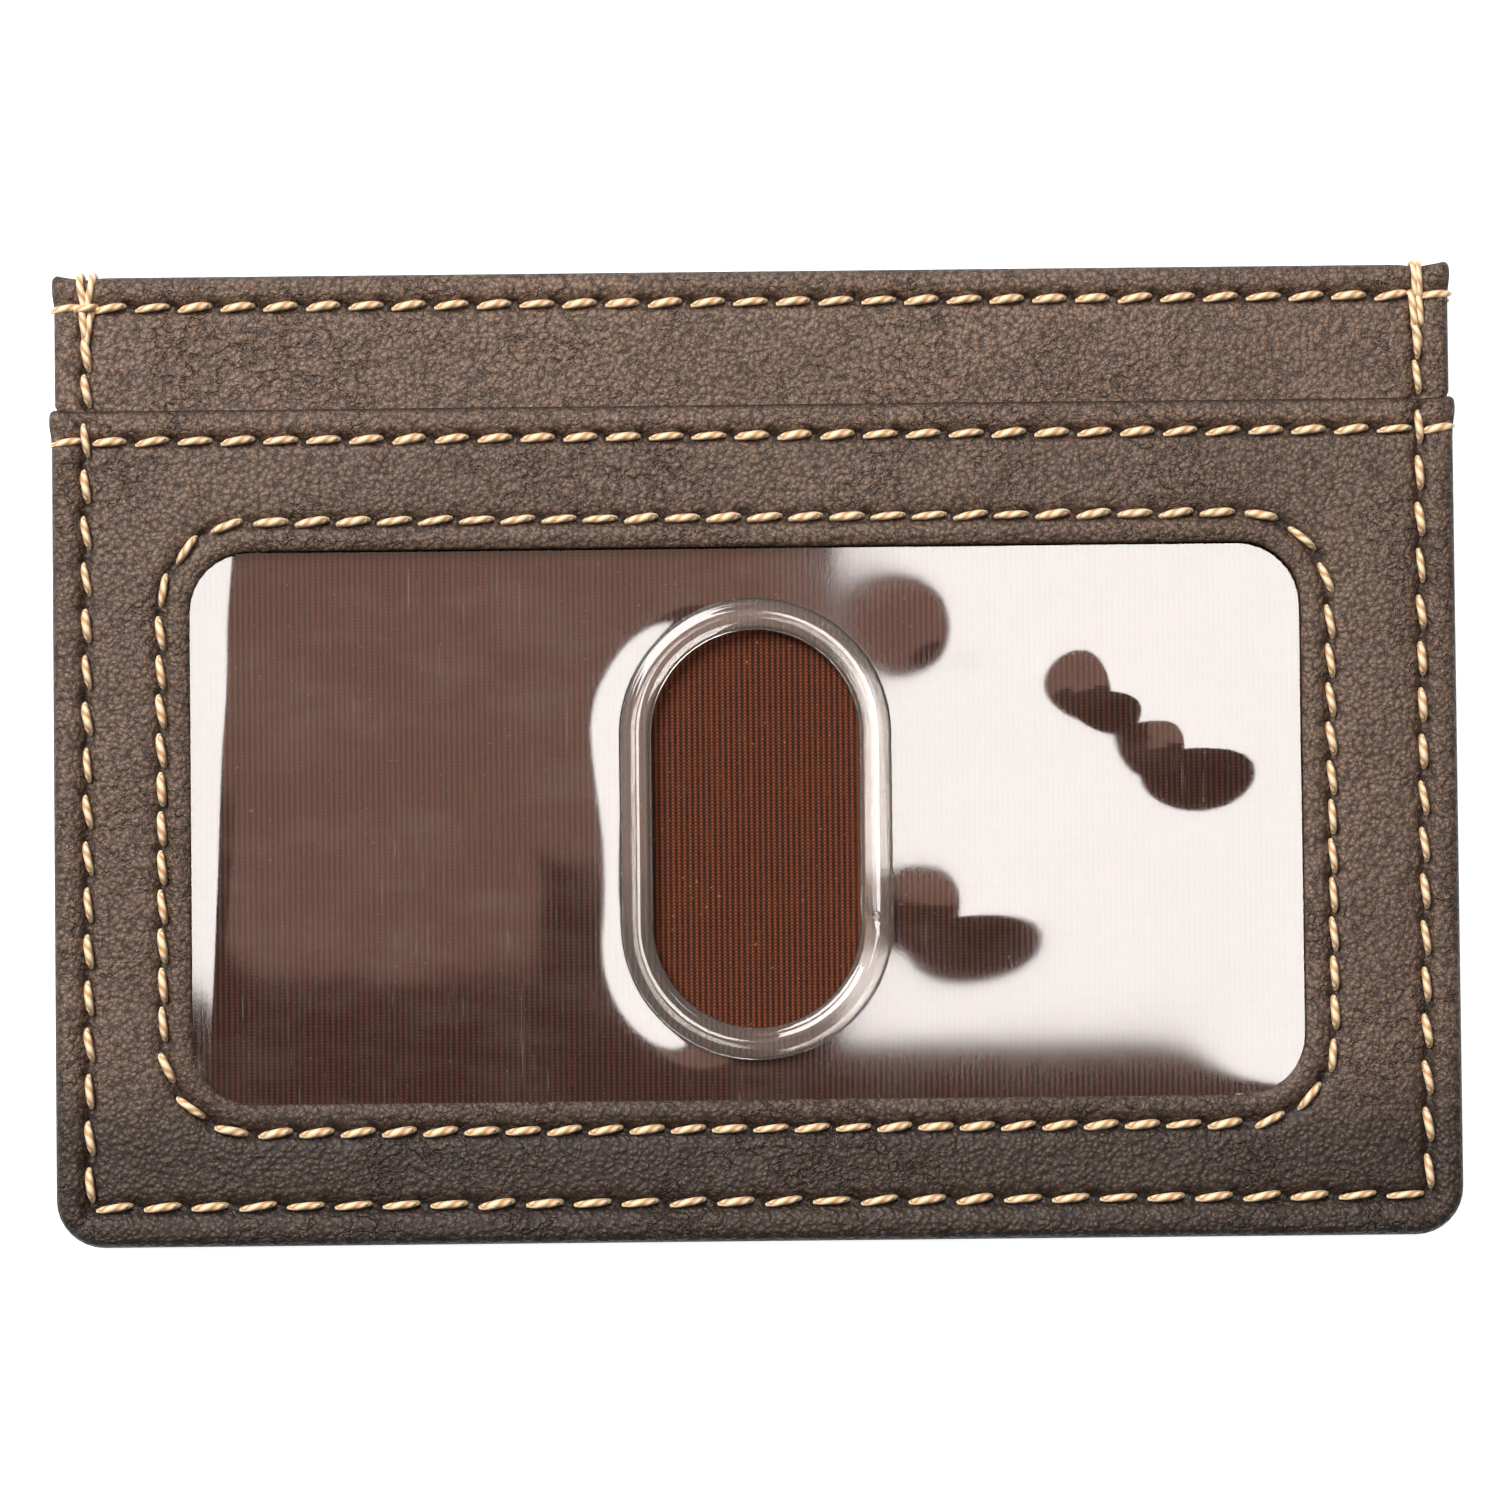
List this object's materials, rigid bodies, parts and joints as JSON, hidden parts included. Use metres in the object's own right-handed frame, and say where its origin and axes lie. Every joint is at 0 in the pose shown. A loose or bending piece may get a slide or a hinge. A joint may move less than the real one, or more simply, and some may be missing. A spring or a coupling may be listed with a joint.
{
  "type": "business card case",
  "caption": "Slim leather card case with a clear identity-card window and thumb slot in front, card slots behind and an open centre pocket.",
  "frame": {"origin": "centre of the case's outline, at the level it rests on", "axes": "+X across the case, +Y towards the open edge, +Z out of the window side"},
  "size_m": [0.1024, 0.071, 0.006],
  "materials": {
    "leather": "matte pebbled dark brown leather with turned edges",
    "clear_vinyl": "glossy clear flexible sheet",
    "clear_bead": "glossy clear moulded bead",
    "ribbed_fabric": "fine vertical rib weave, dark brown",
    "slot_fabric": "thin dark brown lining",
    "bonded_board": "bonded fibre, matte",
    "thread": "waxed twisted tan thread"
  },
  "bodies": {
    "root": {"front_panel": "leather", "front_top_strip": "leather", "window_sheet": "clear_vinyl", "thumb_slot_bead": "clear_bead", "id_pocket_lining": "ribbed_fabric", "front_stiffener": "bonded_board", "centre_front_lining": "slot_fabric", "centre_back_lining": "slot_fabric", "back_stiffener": "bonded_board", "back_slot_lining": "slot_fabric", "back_top_strip": "leather", "upper_slot_panel": "leather", "upper_slot_lining": "slot_fabric", "lower_slot_panel": "leather", "lower_slot_lining": "slot_fabric", "window_thread": "thread", "front_mouth_thread": "thread", "front_top_thread": "thread", "back_top_thread": "thread", "upper_slot_thread": "thread", "lower_slot_thread": "thread", "perimeter_thread_front": "thread", "perimeter_thread_back": "thread", "left_corner_tack": "thread", "right_corner_tack": "thread"}
  },
  "joints": []
}
